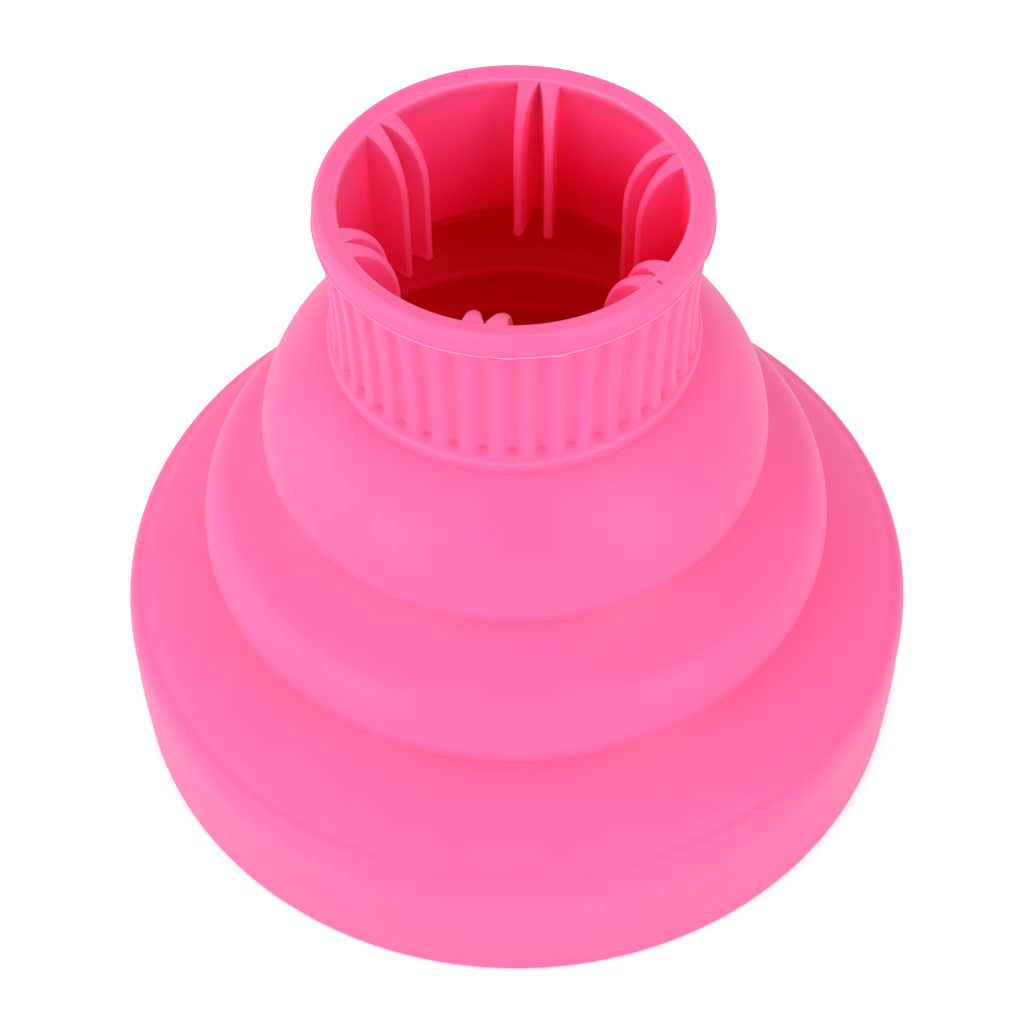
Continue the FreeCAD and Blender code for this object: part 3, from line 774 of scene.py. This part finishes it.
def silicone():
    """Satin silicone, pink outside and redder down the hollow as painted shade (attribute `inside`,
    which also holds painted shade in the outside valleys), with edges paler as rubbed wear and painted
    highlight and painted shade in corners (attribute `curv`), a painted glow in the hollow, specks,
    marks, slow waves and grain."""
    material = bpy.data.materials.new("silicone_pink")
    material.use_nodes = True
    tree = material.node_tree
    tree.nodes.clear()
    add = partial(add_node, tree)
    place = add("TexCoord").outputs["Object"]
    inside = add("Attribute", attribute_name="inside").outputs["Fac"]
    curv = add("Attribute", attribute_name="curv").outputs["Fac"]

    def noise(scale, detail, roughness=0.5):
        return add("TexNoise", {"Scale": scale, "Detail": detail, "Roughness": roughness,
                                "Vector": place}).outputs["Fac"]

    def remap(source, low, high, to_low=0.0, to_high=1.0):
        return add("MapRange", {"From Min": low, "From Max": high, "To Min": to_low,
                                "To Max": to_high, "Value": source}).outputs[0]

    def calc(operation, *values):
        return add("Math", dict(enumerate(values)), operation=operation).outputs[0]

    multiply = partial(calc, "MULTIPLY")

    def mix(factor, a, b):
        return add("Mix", {"Factor": factor, "A": a, "B": b}, data_type="RGBA").outputs["Result"]

    def shade_ramp(which):
        ramp = add("ValToRGB", {0: inside})
        elements = ramp.color_ramp.elements
        for element, stop in ((elements[0], SHADE_COLOURS[0]), (elements[1], SHADE_COLOURS[-1])):
            element.position, element.color = stop[0], srgb(*stop[which])
        for stop in SHADE_COLOURS[1:-1]:
            elements.new(stop[0]).color = srgb(*stop[which])
        return ramp.outputs[0]

    cloud = remap(noise(CLOUD_SCALE, detail=5.0, roughness=0.55), low=0.30, high=0.70)
    # colour by painted shade, clouded between a darker and a lighter ramp
    colour = mix(cloud, shade_ramp(1), shade_ramp(2))
    # edges paler, partly rubbed wear and partly painted highlight; thin mould lines paler still;
    # painted shade in corners
    rub = noise(RUB_SCALE, detail=4.0, roughness=0.6)
    edge = multiply(remap(curv, low=0.22, high=1.0),
                    remap(rub, low=0.30, high=0.70, to_low=0.35))
    less_in_shade = remap(inside, low=0.0, high=0.5, to_low=1.0, to_high=0.32)
    colour = mix(multiply(multiply(edge, less_in_shade), EDGE_MIX), colour, PALE_DUST_WEAR_AND_HIGHLIGHT)
    colour = mix(multiply(remap(curv, low=1.2, high=2.2), MOULD_LINE_MIX), colour, PALE_DUST_WEAR_AND_HIGHLIGHT)
    # painted shade in concave corners and creases
    crease = remap(curv, low=-0.10, high=-0.70)
    colour = mix(multiply(crease, CREASE_SHADE_MIX), colour, CREASE_SHADE_AND_SPECK_COLOUR)
    # specks: a few dark, a few pale
    shifted = add("VectorMath", {0: place, 1: SPECK_OFFSET}, operation="ADD").outputs[0]
    cells = add("TexVoronoi", {"Scale": SPECK_SCALE, "Vector": shifted})
    pick = add("SeparateColor", {0: cells.outputs["Color"]}).outputs
    dot = remap(cells.outputs["Distance"], low=0.036, high=0.018)
    dark = multiply(dot, calc("GREATER_THAN", pick[0], DARK_SPECKS_ABOVE))
    colour = mix(multiply(dark, DARK_SPECK_MIX), colour, CREASE_SHADE_AND_SPECK_COLOUR)
    pale = multiply(dot, calc("LESS_THAN", pick[1], PALE_SPECKS_BELOW))
    colour = mix(multiply(pale, PALE_SPECK_MIX), colour, PALE_DUST_WEAR_AND_HIGHLIGHT)
    for x, y, z, radius, strength in MARKS:
        away = add("VectorMath", {0: place, 1: (x * MM, y * MM, z * MM)}, operation="DISTANCE")
        spot = remap(away.outputs["Value"], low=radius * MM, high=0.45 * radius * MM)
        colour = mix(multiply(spot, strength), colour, MARK_COLOUR)
    # satin, smoother where rubbed and rougher in corners
    satin = remap(noise(SATIN_SCALE, detail=6.0, roughness=0.6), 0.30, 0.70, *SATIN)
    satin = calc("MULTIPLY_ADD", edge, RUBBED_SMOOTHER, satin)
    satin = calc("MULTIPLY_ADD", crease, CREASE_ROUGHER, satin)
    specular = remap(inside, low=0.25, high=0.85, to_low=0.42, to_high=0.05)
    sheen = remap(inside, low=0.0, high=0.4, to_low=0.06, to_high=0.0)
    # painted glow: emission in the hollow stands in for red light that comes through the wall
    glow_colour = mix(remap(inside, low=0.15, high=0.70), GLOW_SHALLOW, GLOW_DEEP)
    glow = multiply(remap(inside, low=0.02, high=0.32),
                    remap(inside, low=0.93, high=0.99, to_low=1.0, to_high=0.45))
    glow = multiply(glow, GLOW)
    # slow waviness, then fine grain; bump distances in metres
    waves = add("Bump", {"Strength": 1.0, "Distance": 0.0002,
                         "Height": noise(WAVE_SCALE, detail=1.5)})
    grain = add("Bump", {"Strength": 0.35, "Distance": 0.00004,
                         "Height": noise(GRAIN_SCALE, detail=2.0), "Normal": waves.outputs[0]})
    shader = add("BsdfPrincipled", {
        "Base Color": colour, "Roughness": satin, "IOR": 1.41, "Specular IOR Level": specular,
        "Sheen Weight": sheen, "Sheen Roughness": 0.5, "Emission Color": glow_colour,
        "Emission Strength": glow, "Normal": grain.outputs[0]})
    add("OutputMaterial", {0: shader.outputs[0]})
    return material


# ---------------------------------------------------------------- place every piece
silicone_pink = silicone()
BODY = {n: b for b, ns in frame["record"]["behaviour"]["bodies"].items() for n in ns}


def stand_in(node):
    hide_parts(node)


for node, obj in pieces.items():
    obj.data.materials.append(silicone_pink)
    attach(obj, BODY[node])
    stand_in(node)
for number, (obj, start, end) in enumerate(fins, 1):
    obj.data.materials.append(silicone_pink)
    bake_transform(obj)
    stand_in("grip_fin_%02d" % number)
for obj, node, body_a, body_b, start_r, end_r, azimuth in webs:
    obj.data.materials.append(silicone_pink)
    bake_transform(obj)
    stand_in(node)

# ---------------------------------------------------------------- floor, lights, world (metres)
FLOOR_HALF, FLOOR_Z = 40, -0.0002
FLOOR_GLOW, FLOOR_GLOW_SEEN = 0.01, 0.40    # emission, and what the camera sees on top of it
FLOOR_DARK_R = (0.068, 0.074)               # that extra fades in between these radii
WORLD_LIGHT, WORLD_SEEN = 0.62, 0.45        # the same for the world
WHITE = (1, 1, 1, 1)


def floor_material():
    material = bpy.data.materials.new("pale_floor")
    material.use_nodes = True
    tree = material.node_tree
    add = partial(add_node, tree)
    tint = add("ValToRGB", {0: add("TexNoise", {"Scale": 3.0}).outputs["Fac"]})
    tint.color_ramp.elements[0].color = (0.90, 0.90, 0.905, 1)
    tint.color_ramp.elements[1].color = (0.93, 0.93, 0.93, 1)
    # the floor is seen brighter than it lights, and dark under the object
    camera_ray = add("LightPath").outputs["Is Camera Ray"]
    glow = add("Math", {1: FLOOR_GLOW_SEEN, 2: FLOOR_GLOW}, operation="MULTIPLY_ADD")
    position = add("NewGeometry").outputs["Position"]
    distance = add("VectorMath", {0: position}, operation="LENGTH").outputs["Value"]
    clear = add("MapRange", {"From Min": FLOOR_DARK_R[0], "From Max": FLOOR_DARK_R[1],
                             "Value": distance})
    seen = add("Math", {0: camera_ray, 1: clear.outputs[0]}, operation="MULTIPLY")
    set_inputs(tree, glow, {0: seen.outputs[0]})
    set_inputs(tree, tree.nodes["Principled BSDF"], {
        "Base Color": tint.outputs[0], "Roughness": 0.7, "Emission Color": WHITE,
        "Emission Strength": glow.outputs[0]})
    return material


def add_floor():
    mesh = bpy.data.meshes.new("floor")
    corners = [(x * FLOOR_HALF, y * FLOOR_HALF, 0) for x, y in ((-1, -1), (1, -1), (1, 1), (-1, 1))]
    mesh.from_pydata(corners, [], [(0, 1, 2, 3)])
    floor = link_object("floor", mesh)
    floor.location.z = FLOOR_Z
    mesh.materials.append(floor_material())


def axes_matrix(x_axis, y_axis, z_axis, origin):
    return Matrix([*zip(x_axis, y_axis, z_axis, origin), (0, 0, 0, 1)])


# name, location, height aimed at on the axis, width and height, power in watts
LIGHTS = (
    ("key_left", (-0.72, -0.67, 0.22), 0.06, (0.30, 0.44), 1.1),
    ("key_right", (0.74, -0.66, 0.20), 0.06, (0.30, 0.44), 1.2),
    ("left", (-0.95, -0.05, 0.30), 0.06, (0.70, 0.60), 2.2),
    ("front_left", (-0.62, -0.62, 0.62), 0.06, (0.55, 0.75), 1.6),
    ("front_right", (0.66, -0.60, 0.60), 0.06, (0.50, 0.75), 2.6),
    ("back_left", (-0.75, 0.65, 0.50), 0.06, (0.70, 0.70), 1.0),
    ("top", (0.0, -0.10, 1.0), 0.05, (0.9, 0.7), 1.5),
)


def add_light(name, location, target_z, size, power):
    light = bpy.data.lights.new(name, "AREA")
    light.shape = "RECTANGLE"
    light.size, light.size_y = size
    light.energy = power
    obj = link_object(name, light)
    back = np.array(location) - np.array((0, 0, target_z))
    back /= np.linalg.norm(back)
    side = np.cross((0, 0, 1), back)
    side = side / np.linalg.norm(side)
    obj.matrix_world = axes_matrix(side, np.cross(back, side), back, location)


def add_world():
    world = bpy.data.worlds.new("studio")
    world.use_nodes = True
    tree = world.node_tree
    camera_ray = add_node(tree, "LightPath").outputs["Is Camera Ray"]
    strength = add_node(tree, "Math", {0: camera_ray, 1: WORLD_SEEN, 2: WORLD_LIGHT},
                        operation="MULTIPLY_ADD")
    set_inputs(tree, tree.nodes["Background"], {0: WHITE, 1: strength.outputs[0]})
    bpy.context.scene.world = world


add_floor()
for light in LIGHTS:
    add_light(*light)
add_world()
bpy.context.scene.view_settings.view_transform = "Standard"

# ---------------------------------------------------------------- camera
CAMERA_PITCH, CAMERA_ROLL = 0.8934, 0.0109  # radians: down from level, about the line of sight
# the object's origin as the camera sees it, in mm: to the right, down, ahead
ORIGIN_SEEN = np.array([0.9732, 23.6788, 422.5177])
LENS, SENSOR = 76.185, 36.0                 # mm


def add_camera():
    """Camera on the -Y side, looking towards +Y and down."""
    cos, sin = math.cos(CAMERA_PITCH), math.sin(CAMERA_PITCH)
    level, drop = np.array([1.0, 0, 0]), np.array([0, -sin, -cos])
    ahead = np.array([0, cos, -sin])
    right = math.cos(CAMERA_ROLL) * level + math.sin(CAMERA_ROLL) * drop
    down = -math.sin(CAMERA_ROLL) * level + math.cos(CAMERA_ROLL) * drop
    place = -np.stack([right, down, ahead]).T @ ORIGIN_SEEN * MM
    data = bpy.data.cameras.new("camera")
    data.sensor_width = SENSOR
    data.lens = LENS
    data.clip_start = 0.01
    camera = link_object("camera", data)
    camera.matrix_world = axes_matrix(right, -down, -ahead, place)
    bpy.context.scene.camera = camera


add_camera()
